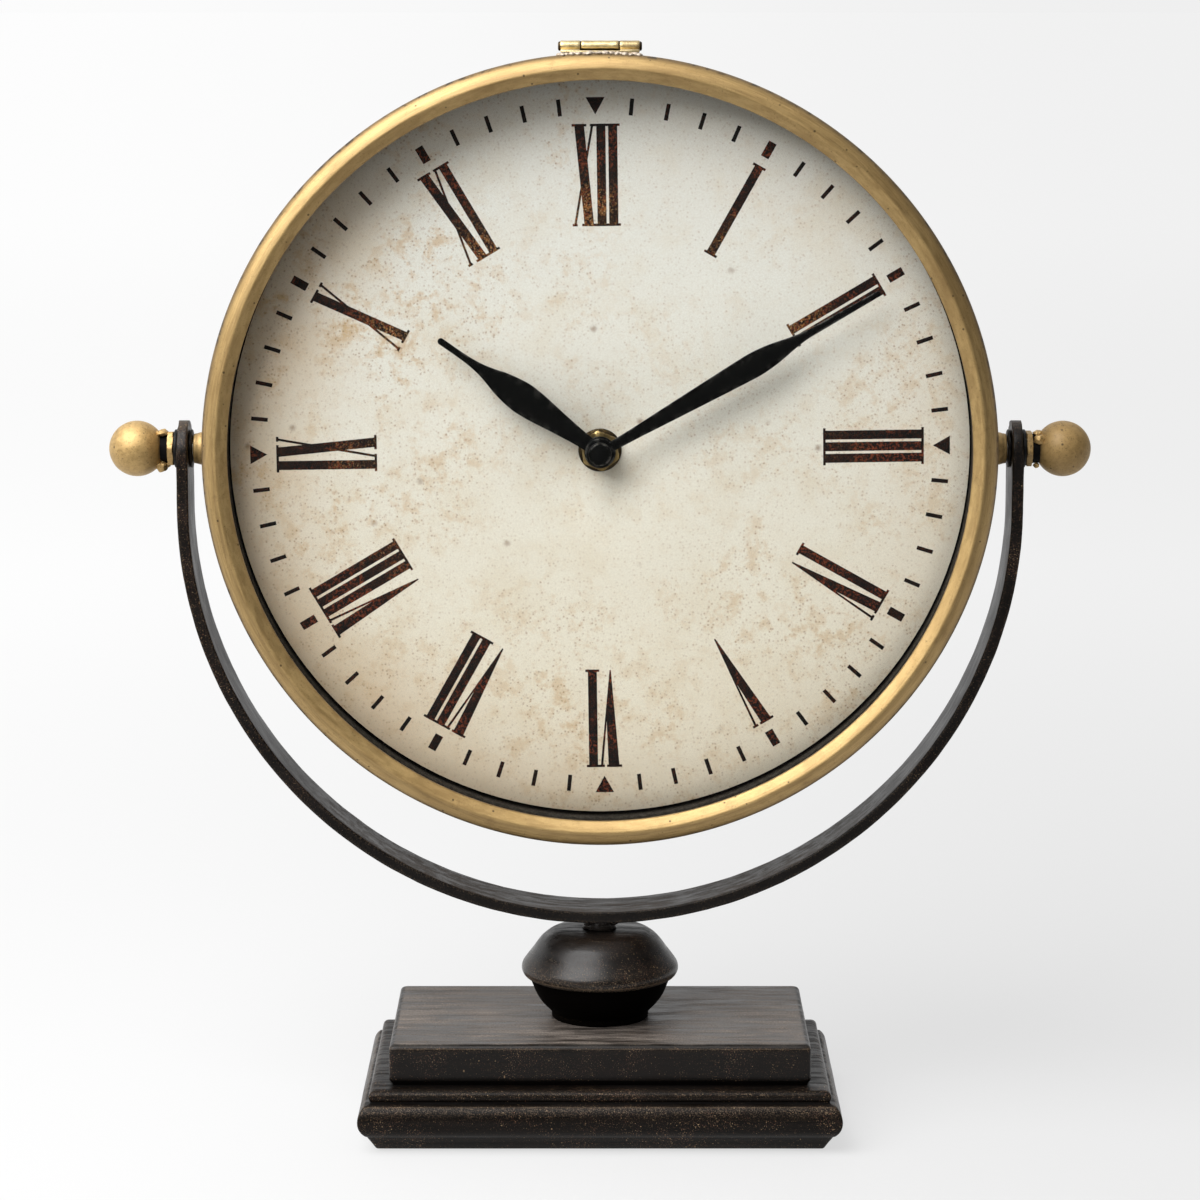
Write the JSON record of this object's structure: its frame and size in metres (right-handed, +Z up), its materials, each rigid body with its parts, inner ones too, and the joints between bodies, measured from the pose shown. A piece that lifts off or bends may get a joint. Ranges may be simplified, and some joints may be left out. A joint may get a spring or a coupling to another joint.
{
  "type": "table clock",
  "caption": "Round glazed table clock with Roman numerals, hung to tilt in a bent-bar yoke with ball knobs on a turned pedestal and moulded base.",
  "frame": {"origin": "on the table, under the middle of the base", "axes": "+Z up, dial faces -Y, +X to the right as seen from the front"},
  "size_m": [0.3132, 0.0926, 0.3489],
  "materials": {
    "gold_paint": "antique satin gold, brushed on, dark along worn edges",
    "dark_iron": "black bronze paint with fine gold flecks",
    "dark_wood": "espresso lacquer with brush strokes and gold speckle",
    "washer_black": "dull black",
    "felt": "black felt",
    "steel": "zinc plated",
    "brass": "turned brass",
    "case_sheet": "antique gold paint on sheet iron",
    "rear_black": "black powder coat",
    "surround_black": "satin black",
    "dial_paper": "aged cream print on fibreboard",
    "clear_glass": "clear flat glass",
    "hand_black": "satin black",
    "movement_plastic": "moulded black plastic",
    "gear_plastic": "natural acetal",
    "board_green": "solder mask",
    "copper_coil": "enamelled copper wire",
    "cell_label": "plain sleeved cell"
  },
  "bodies": {
    "stand": {"base_moulding": "dark_wood", "plinth": "dark_wood", "base_pads": "felt", "plinth_screws": "steel", "pedestal": "dark_wood", "centre_bolt": "steel", "centre_bolt_washer": "steel", "yoke": "dark_iron", "yoke_boss": "dark_iron", "pivot_washers": "washer_black"},
    "case": {"case_drum": "case_sheet", "trunnion_left": "steel", "trunnion_right": "steel", "sleeve_left": "gold_paint", "sleeve_right": "gold_paint", "rear_cover": "rear_black", "rear_screws": "steel", "dial_plate": "dial_paper", "dial_surround": "surround_black", "dial_brackets": "steel", "dial_screws": "steel", "case_hinge_leaf": "gold_paint", "movement_front_case": "movement_plastic", "movement_rear_case": "movement_plastic", "shaft_bush": "brass", "dial_washer": "brass", "dial_nut": "brass", "circuit_board": "board_green", "crystal": "steel", "stator": "steel", "coil": "copper_coil", "battery": "cell_label", "contact_positive": "steel", "contact_negative": "steel"},
    "door": {"bezel": "gold_paint", "glass": "clear_glass", "glass_retainer": "surround_black", "door_hinge_leaf": "gold_paint", "hinge_pin": "brass"},
    "knob_l": {"knob_left": "gold_paint"},
    "knob_r": {"knob_right": "gold_paint"},
    "minute_set": {"centre_wheel": "gear_plastic", "minute_hand": "hand_black", "hand_cap_nut": "hand_black"},
    "hour_set": {"hour_wheel": "gear_plastic", "hour_hand": "hand_black"},
    "motion_wheel": {"minute_wheel": "gear_plastic"},
    "going_wheel": {"intermediate_wheel": "gear_plastic"},
    "motor_rotor": {"rotor": "gear_plastic"},
    "setter": {"setting_knob": "movement_plastic"}
  },
  "joints": [
    {"name": "case_tilt", "type": "hinge", "parent": "stand", "child": "case", "pos_m": [0, 0, 0.22], "axis": [1, 0, 0], "range_deg": [-30, 30]},
    {"name": "door_swing", "type": "hinge", "parent": "case", "child": "door", "pos_m": [0, -0.012, 0.3472], "axis": [-1, 0, 0], "range_deg": [0, 95]},
    {"name": "knob_left_turn", "type": "hinge", "parent": "case", "child": "knob_l", "pos_m": [-0.1477, 0, 0.22], "axis": [-1, 0, 0], "continuous": true},
    {"name": "knob_right_turn", "type": "hinge", "parent": "case", "child": "knob_r", "pos_m": [0.1477, 0, 0.22], "axis": [1, 0, 0], "continuous": true},
    {"name": "minute_turn", "type": "hinge", "parent": "case", "child": "minute_set", "pos_m": [0, 0, 0.22], "axis": [0, 1, 0], "continuous": true},
    {"name": "hour_turn", "type": "hinge", "parent": "case", "child": "hour_set", "pos_m": [0, 0, 0.22], "axis": [0, 1, 0], "continuous": true},
    {"name": "minute_wheel_turn", "type": "hinge", "parent": "case", "child": "motion_wheel", "pos_m": [-0.01182, 0, 0.22208], "axis": [0, 1, 0], "continuous": true},
    {"name": "setting_knob_turn", "type": "hinge", "parent": "case", "child": "setter", "pos_m": [-0.01782, 0, 0.23248], "axis": [0, 1, 0], "continuous": true},
    {"name": "intermediate_turn", "type": "hinge", "parent": "case", "child": "going_wheel", "pos_m": [0.01061, 0, 0.22612], "axis": [0, 1, 0], "continuous": true},
    {"name": "rotor_turn", "type": "hinge", "parent": "case", "child": "motor_rotor", "pos_m": [0.01901, 0, 0.22612], "axis": [0, 1, 0], "continuous": true}
  ],
  "couplings": [
    {"joint": "hour_turn", "follows": "minute_turn", "ratio": 0.083333},
    {"joint": "minute_wheel_turn", "follows": "minute_turn", "ratio": -0.33333},
    {"joint": "setting_knob_turn", "follows": "minute_turn", "ratio": 1},
    {"joint": "intermediate_turn", "follows": "minute_turn", "ratio": -6},
    {"joint": "rotor_turn", "follows": "minute_turn", "ratio": 30}
  ]
}
